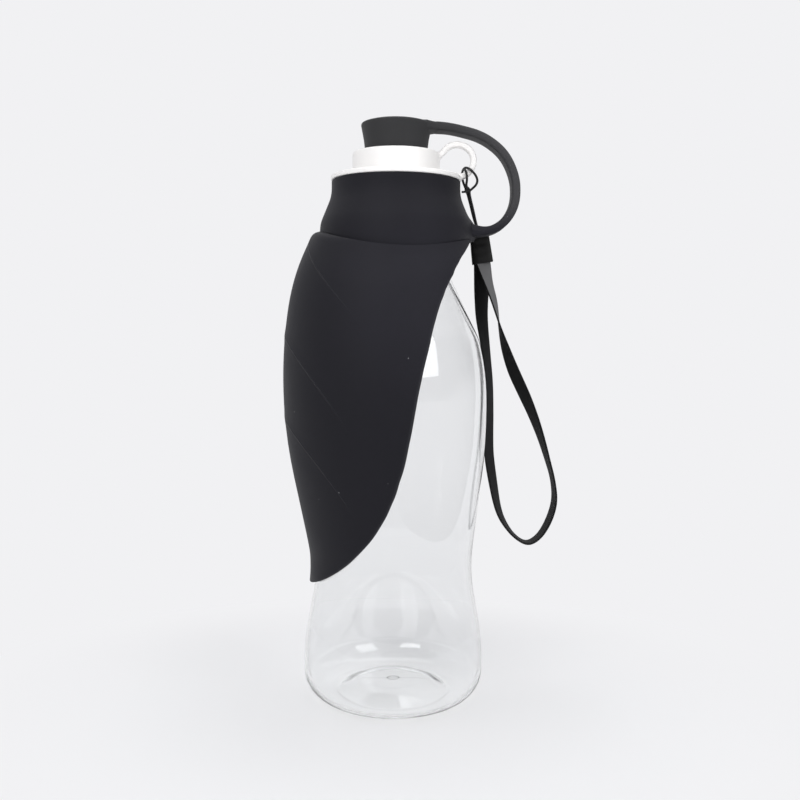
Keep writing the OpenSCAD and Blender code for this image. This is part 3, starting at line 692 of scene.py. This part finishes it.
def stopper_piece():
    """Head and stem turned, the lug joined to the head, then softened as one moulding."""
    stem, rib, bore = 10.8, 10.95, 10.8 - 3.2
    low, high = 12.8, 14.5
    top = SPOUT_TOP
    seat = top + 0.02
    profile = rounded([(0, top - 1.5, 0), (bore, top - 1.5, 0.6), (bore, top - 11, 0.5),
                       (stem, top - 11, 1.2), (stem, top - 8.4, 0.2), (rib, top - 8.2, 0), (rib, top - 7.6, 0),
                       (stem, top - 7.4, 0), (stem, top - 3.6, 0), (rib, top - 3.4, 0), (rib, top - 2.8, 0),
                       (stem, top - 2.6, 0), (stem, seat, 0), (low, seat, 0.4), (low + 0.55, top + 5, 30),
                       (high + 0.2, HEAD_TOP - 0.85, 0.8), (high - 3, HEAD_TOP + 0.1, 5),
                       (0, HEAD_TOP + 0.3, 0)], 5)
    head = new_piece("stopper_plug", scaled(turned(refined(profile, 1.5), 96)), 60)
    rings = []
    for x in (6, 8, 10, 11.5, 12.5, 13.5, 14.5, 15.5, 16.5, 18, 20):
        root = min(1, max(0, 1 - (x - 12.5) / 5.5))
        rings.append(strap_section((x, 0, strap_lift(x) + STRAP_Z), (1, 0, 0),
                                   STRAP_W * (1 + 0.5 * root ** 2) - 0.1, STRAP_T * (1 + 0.2 * root ** 2) - 0.1))
    lug = new_piece("lug", scaled(tube(rings)), 60)
    cut = head.modifiers.new("join", "BOOLEAN")
    cut.operation, cut.object, cut.solver = "UNION", lug, "EXACT"
    remesh = head.modifiers.new("melt", "REMESH")
    remesh.mode, remesh.voxel_size, remesh.use_smooth_shade = "VOXEL", 0.00034, True
    soften = head.modifiers.new("soften", "SMOOTH")
    soften.factor, soften.iterations = 0.5, 3
    graph = bpy.context.evaluated_depsgraph_get()
    mesh = bpy.data.meshes.new_from_object(head.evaluated_get(graph))
    head.modifiers.clear()
    head.data = mesh
    bpy.data.objects.remove(lug)
    mesh.shade_smooth()
    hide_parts("stopper")
    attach(head, "stopper")
    return head


strap_band = strap_piece()
stopper_plug = stopper_piece()

# ---- crimped sleeve -----------------------------------------------------------------------------

FERRULE_W, FERRULE_T, FERRULE_H = 8.7, 4.6, 12.5


def ferrule_piece():
    """Sleeve crimped twice across its faces. It leans, narrows upwards and has a slanted lower edge."""
    bm = bmesh.new()
    bmesh.ops.create_cube(bm, size=1)
    bmesh.ops.scale(bm, vec=(FERRULE_W, FERRULE_T, FERRULE_H), verts=bm.verts)
    bmesh.ops.subdivide_edges(bm, edges=bm.edges, cuts=15, use_grid_fill=True)
    for vert in bm.verts:
        x, y, z = vert.co
        press = math.exp(-((z - 1.9) / 0.8) ** 2) + math.exp(-((z + 1.9) / 0.8) ** 2)
        rise = z / FERRULE_H + 0.5
        thin = 1 - 0.3 * (x / (FERRULE_W / 2)) ** 4
        vert.co.y = y * (1 - 0.14 * press * math.cos(x / 4.4 * math.pi / 2)) * thin
        vert.co.x = x - 1.2 * rise - 0.8 * (x / FERRULE_W + 0.5) * rise
        vert.co.z = z + 0.17 * x * (0.5 - z / FERRULE_H)
    bmesh.ops.translate(bm, verts=bm.verts, vec=(36.8, 9.5, 183.3))
    piece = new_piece("cord_crimp", scaled(bm), 50)
    edge = piece.modifiers.new("edge", "BEVEL")
    edge.width, edge.segments, edge.limit_method, edge.angle_limit = 0.0004, 3, "ANGLE", math.radians(50)
    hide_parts("crimp_ferrule")
    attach(piece, "cap")
    return piece


cord_crimp = ferrule_piece()

# ---- materials ------------------------------------------------------------------------------------


class Tone:
    """A shader socket that can be used in sums: a + 1, 1 - a, a * b, a ** 2 and so on."""

    def __init__(self, finish, socket):
        self.finish, self.socket = finish, socket

    def _with(self, operation, *values):
        return self.finish.add("ShaderNodeMath", {"operation": operation}, dict(enumerate(values)))

    def __add__(self, other): return self._with("ADD", self, other)
    def __radd__(self, other): return self._with("ADD", other, self)
    def __sub__(self, other): return self._with("SUBTRACT", self, other)
    def __rsub__(self, other): return self._with("SUBTRACT", other, self)
    def __mul__(self, other): return self._with("MULTIPLY", self, other)
    def __pow__(self, other): return self._with("POWER", self, other)
    def __gt__(self, other): return self._with("GREATER_THAN", self, other)
    def __lt__(self, other): return self._with("LESS_THAN", self, other)
    def __neg__(self): return self._with("MULTIPLY", self, -1)
    def __abs__(self): return self._with("ABSOLUTE", self)

    def wave(self): return self._with("SINE", self)
    def clamp(self): return self.finish.add("ShaderNodeClamp", {}, {0: self})

    def ramp(self, low, high):
        """0 below low and 1 above high, eased between."""
        return self.finish.add("ShaderNodeMapRange", {"interpolation_type": "SMOOTHSTEP"},
                               {0: self, 1: low, 2: high})


class Room:
    """A tree of shader nodes."""

    def __init__(self, tree):
        self.tree = tree

    def add(self, kind, settings=(), inputs=(), out=0):
        """A node of that kind, with its settings, then its inputs, as its output socket."""
        node = self.tree.nodes.new(kind)
        for key, value in dict(settings).items():
            setattr(node, key, value)
        for key, value in dict(inputs).items():
            if isinstance(value, Tone):
                self.tree.links.new(value.socket, node.inputs[key])
            else:
                node.inputs[key].default_value = value
        return Tone(self, node.outputs[out])

    def place(self): return self.add("ShaderNodeTexCoord", out="Object")
    def sheet(self): return self.add("ShaderNodeTexCoord", out="UV")
    def mark(self, name): return self.add("ShaderNodeAttribute", {"attribute_name": name}, out="Fac")

    def split(self, vector):
        node = self.tree.nodes.new("ShaderNodeSeparateXYZ")
        self.tree.links.new(vector.socket, node.inputs[0])
        return [Tone(self, node.outputs[i]) for i in range(3)]

    def stretch(self, vector, x, y, z):
        return self.add("ShaderNodeMapping", {}, {"Vector": vector, "Scale": (x, y, z)})

    def noise(self, at, scale, detail):
        return self.add("ShaderNodeTexNoise", {}, {"Vector": at, "Scale": scale, "Detail": detail}, out="Fac")

    def cells(self, at, scale):
        return self.add("ShaderNodeTexVoronoi", {}, {"Vector": at, "Scale": scale}, out="Distance")

    def mix(self, share, a, b):
        """Colour between a and b. Each is a colour or a Tone."""
        return self.add("ShaderNodeMix", {"data_type": "RGBA"}, {0: share, 6: a, 7: b}, out=2)

    def bump(self, height, depth, strength, under=None):
        """Normal raised by height, which is depth metres at 1, over another normal if there is one."""
        inputs = {"Height": height, "Distance": depth, "Strength": strength}
        if under is not None:
            inputs["Normal"] = under
        return self.add("ShaderNodeBump", {}, inputs, out="Normal")

    def ray(self, kind): return self.add("ShaderNodeLightPath", out=kind)

    def seen(self):
        """1 for rays that carry a picture: from the camera, mirrored or passed through glass, and not
        thrown back by a matte surface on their way."""
        picture = self.ray("Is Camera Ray") + self.ray("Is Glossy Ray") + self.ray("Is Transmission Ray")
        return picture.clamp() * (1 - (self.ray("Diffuse Depth") > 0.5))


class Finish(Room):
    """One material: a Principled shader, its constants, and the nodes that feed it."""

    def __init__(self, name, **constants):
        self.material = bpy.data.materials.new(name)
        self.material.use_nodes = True
        super().__init__(self.material.node_tree)
        self.shader = self.tree.nodes["Principled BSDF"]
        for socket, value in constants.items():
            self.shader.inputs[socket.replace("_", " ")].default_value = value

    def feed(self, **links):
        for socket, value in links.items():
            self.tree.links.new(value.socket, self.shader.inputs[socket.replace("_", " ")])
        return self

    def dress(self, *pieces):
        for piece in pieces:
            piece.data.materials.clear()
            piece.data.materials.append(self.material)
        return self


def vein_lines(f):
    """The veins' crests: fine lines, 1 on the crest, that fade out towards the leaf's sides.
    The leaf's UV holds its angle over 90 degrees and its height over 100 mm."""
    u, v, _ = f.split(f.sheet())
    a = abs(u)
    total = None
    for top, at30, at60 in VEINS:
        slope, bend = vein_drop(at30, at60)
        off = abs(v * 100 - (a * (-slope * 90) - a * a * (bend * 8100) + top))
        line = (1 - off.ramp(0.05, 0.55)) * (1 - a.ramp(0.5, 0.8)) * a.ramp(0.02, 0.1)
        total = line if total is None else total + line
    return total.clamp()


# Tones of the silicone, from dark to light: the leaf's and the collar's, then the strap's and the stopper's.
# The palest of each set also serves the painted light: on the leaf and collar, and on the strap's outer run
NIGHT = (0.0058, 0.0056, 0.0088, 1)
INK = (0.0092, 0.0088, 0.0132, 1)
INK_PALE = (0.0148, 0.0143, 0.0212, 1)
SLATE_DARK = (0.025, 0.025, 0.026, 1)
SLATE = (0.039, 0.039, 0.041, 1)
SLATE_LIT = (0.056, 0.055, 0.059, 1)
DUST = (0.42, 0.42, 0.44, 1)
# Middle of the painted pool of light on the leaf and collar, in metres
LIGHT_POOL_X, LIGHT_POOL_Z = 0.009, 0.164


def silicone(name, dusty, strap=False):
    """Matte silicone: mottled, faintly grainy, with fine pale dust that sticks to it. Leaf and collar carry a
    painted pool of light, and the leaf a painted highlight on its edges and veins; the strap is greyer, painted
    lighter on its outer run than by the stopper, and darkens towards the collar. dusty is 0 to 1."""
    f = Finish(name, IOR=1.40, Specular_IOR_Level=0.26, Sheen_Weight=0.03, Sheen_Roughness=0.5)
    at = f.place()
    x, _, z = f.split(at)
    cloud = f.noise(at, 38, 3)
    fine = f.noise(at, 2600, 2)
    dust = f.cells(at, 190)
    lit = f.noise(at, 95, 1)
    speck = (dust < 0.032) * (lit > 0.60)
    mottle = (cloud * 0.8 + fine * 0.25 - 0.1).clamp()
    # painted light: a pool that lightens the leaf and collar round one point and leaves them darker away from it
    aside, above = x - LIGHT_POOL_X, z - LIGHT_POOL_Z
    painted_light = 1 - ((aside * aside * 1.8 + above * above) ** 0.5).ramp(0.006, 0.055)
    if strap:
        # painted light: the strap is lighter on its outer run, where light from the right falls, than by the
        # stopper
        slate_lit_right = f.mix(x.ramp(0.016, 0.044), f.mix(mottle, SLATE_DARK, SLATE), f.mix(mottle, SLATE, SLATE_LIT))
        tone = f.mix(z.ramp(0.187, 0.203), f.mix(mottle, INK, INK_PALE), slate_lit_right)
    else:
        tone = f.mix(mottle, f.mix(painted_light, NIGHT, INK), f.mix(painted_light, INK, INK_PALE))
    tone = f.mix(speck * (0.55 * dusty), tone, DUST)
    soft = f.bump(f.noise(at, 60, 2), 0.0004, 0.35)
    if not strap:
        # painted highlight along the leaf's cut edges
        tone = f.mix(f.mark("rim") * 0.35, tone, (0.07, 0.07, 0.075, 1))
        crest = vein_lines(f)
        # painted highlight on the veins' crests, over their bump
        tone = f.mix(crest * f.noise(at, 220, 2).ramp(0.3, 0.6) * 0.26, tone, (0.045, 0.045, 0.05, 1))
        soft = f.bump(crest, 0.0003, 0.8, soft)
    grain = f.bump(fine + speck * 2, 0.00004, 0.5, soft)
    f.feed(Base_Color=tone, Roughness=(0.52 + cloud * 0.16 + fine * 0.08), Normal=grain)
    return f


silicone("leaf silicone", 1.0).dress(leaf_skin, collar_skin)
silicone("strap silicone", 0.5, True).dress(strap_band, stopper_plug)


def clear_plastic():
    """Blown plastic: clear, tinted a little darker from the foot to the waist, with draw lines, a parting line
    down both sides and a gate mark under the base."""
    f = Finish("clear plastic", Transmission_Weight=1.0, IOR=1.52)
    at = f.place()
    x, y, z = f.split(at)
    ripple = f.noise(f.stretch(at, 1, 1, 0.25), 42, 2)
    haze = f.noise(at, 16, 3)
    # darker tint: none in the base, full from 22 to 50 mm up, gone by 100 mm
    lower_tint = z.ramp(0.004, 0.022) * (1 - z.ramp(0.05, 0.10))
    seam = (1 - abs(y).ramp(0.0001, 0.0003)) * z.ramp(0.004, 0.008)
    gate = 1 - ((x * x + y * y) ** 0.5).ramp(0.0022, 0.0026)
    marks = f.bump(seam + gate * (z < 0.01), 0.00012, 0.6)
    f.feed(Base_Color=f.mix(lower_tint, (0.977, 0.982, 0.985, 1), (0.938, 0.943, 0.946, 1)),
           Roughness=0.012 + haze.ramp(0.45, 0.8) * 0.03, Normal=f.bump(ripple, 0.0006, 0.22, marks))
    return f


def white_plastic():
    """Satin moulded plastic of the cap, faintly clouded."""
    f = Finish("white plastic", IOR=1.5)
    at = f.place()
    cloud = f.noise(at, 60, 2)
    fine = f.noise(at, 1800, 2)
    tone = f.mix(cloud * 0.6, (0.85, 0.835, 0.82, 1), (0.895, 0.885, 0.875, 1))
    f.feed(Base_Color=tone, Roughness=0.30 + cloud * 0.12 + fine * 0.05,
           Normal=f.bump(fine, 0.00003, 0.4))
    return f


def soft_white():
    """Soft rubber of the sealing washer."""
    f = Finish("washer rubber", IOR=1.42, Roughness=0.5)
    at = f.place()
    f.feed(Base_Color=f.mix(f.noise(at, 200, 2), (0.78, 0.78, 0.75, 1), (0.85, 0.85, 0.83, 1)),
           Normal=f.bump(f.noise(at, 1500, 2), 0.00003, 0.4))
    return f


def braided_cord():
    """Thin cord whose strands cross in two directions, four each way round."""
    f = Finish("braided cord", IOR=1.45, Sheen_Weight=0.2, Sheen_Roughness=0.4)
    u, v, _ = f.split(f.sheet())
    turn = u * (2 * math.pi * 4)
    left = (turn + v * 5200).wave()
    right = (turn - v * 5200).wave()
    strand = abs(left) * abs(right)
    f.feed(Base_Color=f.mix(strand, (0.004, 0.004, 0.004, 1), (0.022, 0.022, 0.023, 1)),
           Roughness=0.5 + strand * 0.2, Normal=f.bump(strand, 0.00012, 0.8))
    return f


def woven_ribbon():
    """Woven webbing, black, with one face painted grey as a sheen of reflected light."""
    f = Finish("woven ribbon", IOR=1.45, Specular_IOR_Level=0.22)
    u, v, _ = f.split(f.sheet())
    warp = (u * (2 * math.pi * 30)).wave()
    weft = (v * (2 * math.pi * 1900)).wave()
    rib = (warp * weft) * 0.5 + 0.5
    slub = f.noise(f.place(), 900, 2)
    black = f.mix(rib * 0.8 + slub * 0.2, (0.003, 0.003, 0.003, 1), (0.010, 0.010, 0.011, 1))
    grey = f.mix(rib * 0.8 + slub * 0.2, (0.10, 0.10, 0.102, 1), (0.155, 0.155, 0.158, 1))
    # painted sheen: the face with u past a third is grey whatever light reaches it
    f.feed(Base_Color=f.mix(1 - u.ramp(0.33, 0.35), black, grey),
           Roughness=0.6 + rib * 0.2, Normal=f.bump(rib + slub * 0.4, 0.00008, 0.8))
    return f


def black_plastic():
    """Satin plastic of the crimped sleeve."""
    f = Finish("black plastic", IOR=1.45, Specular_IOR_Level=0.3)
    at = f.place()
    fine = f.noise(at, 1500, 2)
    f.feed(Base_Color=f.mix(fine, (0.003, 0.003, 0.003, 1), (0.006, 0.006, 0.006, 1)),
           Roughness=0.5 + fine * 0.15, Normal=f.bump(fine, 0.00003, 0.5))
    return f


clear_plastic().dress(bottle_body, neck_thread)
bottle_body.visible_shadow = neck_thread.visible_shadow = False
white_plastic().dress(cap_shell, cap_eye, cap_ribs, cap_thread)
soft_white().dress(NODES["neck_gasket"])
braided_cord().dress(lanyard_loop, cord_knot, cord_bight)
woven_ribbon().dress(wrist_webbing)
black_plastic().dress(cord_crimp)

# ---- floor, world and lamps -----------------------------------------------------------------------

PAPER = (0.880, 0.880, 0.896, 1)
DARK_ROOM = (0.26, 0.26, 0.27, 1)
PALE_SKY = (0.95, 0.96, 1.0, 1)


def floor_piece():
    """A pale floor that takes the object's shadow near it and runs into the background further off."""
    bm = bmesh.new()
    bmesh.ops.create_grid(bm, x_segments=2, y_segments=2, size=3)
    bmesh.ops.translate(bm, verts=bm.verts, vec=(0, 0, -0.0002))
    piece = new_piece("floor", bm)
    f = Finish("paper sweep", Roughness=0.9, Base_Color=(0.875, 0.875, 0.88, 1))
    x, y, _ = f.split(f.place())
    far = ((x * x * 0.6 + (y + 0.02) * (y + 0.02)) ** 0.5).ramp(0.05, 0.15)
    glow = f.add("ShaderNodeEmission", {}, {"Color": PAPER, "Strength": 1.0})
    both = f.add("ShaderNodeMixShader", {}, {0: far * f.seen(), 1: Tone(f, f.shader.outputs[0]), 2: glow})
    f.tree.links.new(both.socket, f.tree.nodes["Material Output"].inputs["Surface"])
    f.dress(piece)


def world_light():
    """The camera sees paper all round. Mirrored and transmitted rays see it behind the object and at
    its left, and a darker room in front of it and at its right. Rays that light a matte surface see a
    dimmer sky."""
    world = bpy.data.worlds.new("studio")
    scene.world = world
    world.use_nodes = True
    room = Room(world.node_tree)
    x, y, z = room.split(room.add("ShaderNodeTexCoord", out="Generated"))
    front = (-y).ramp(-0.15, 0.75) * (z + 0.25).ramp(0.0, 0.35)
    flag = x.ramp(0.72, 0.95) * (z + 0.05).ramp(0.0, 0.2)
    through = 1 - room.ray("Is Camera Ray")
    sky = room.mix((front + flag).clamp() * through, PAPER, DARK_ROOM)
    behind = room.add("ShaderNodeBackground", {}, {"Color": sky, "Strength": 1.0})
    dim = room.add("ShaderNodeBackground", {}, {"Color": PALE_SKY, "Strength": 0.42})
    both = room.add("ShaderNodeMixShader", {}, {0: room.seen(), 1: dim, 2: behind})
    room.tree.links.new(both.socket, room.tree.nodes["World Output"].inputs["Surface"])


LAMP_AIM = Vector((0, 0, 0.1))


def lamp(name, place, size, power):
    """Rectangular lamp that points at the object. power is in watts."""
    data = bpy.data.lights.new(name, "AREA")
    data.shape, data.size, data.size_y = "RECTANGLE", size[0], size[1]
    data.energy = power
    light = bpy.data.objects.new(name, data)
    light.location = place
    light.rotation_euler = (LAMP_AIM - Vector(place)).to_track_quat("-Z", "Y").to_euler()
    scene.collection.objects.link(light)


floor_piece()
world_light()
lamp("softbox left", (-0.425, -0.844, 0.739), (0.54, 0.80), 6.05)
lamp("softbox right", (0.620, -0.655, 0.631), (0.48, 0.76), 3.7)
lamp("overhead", (0, 0.15, 1.2), (0.9, 0.9), 3.8)

scene.view_settings.view_transform = "Standard"
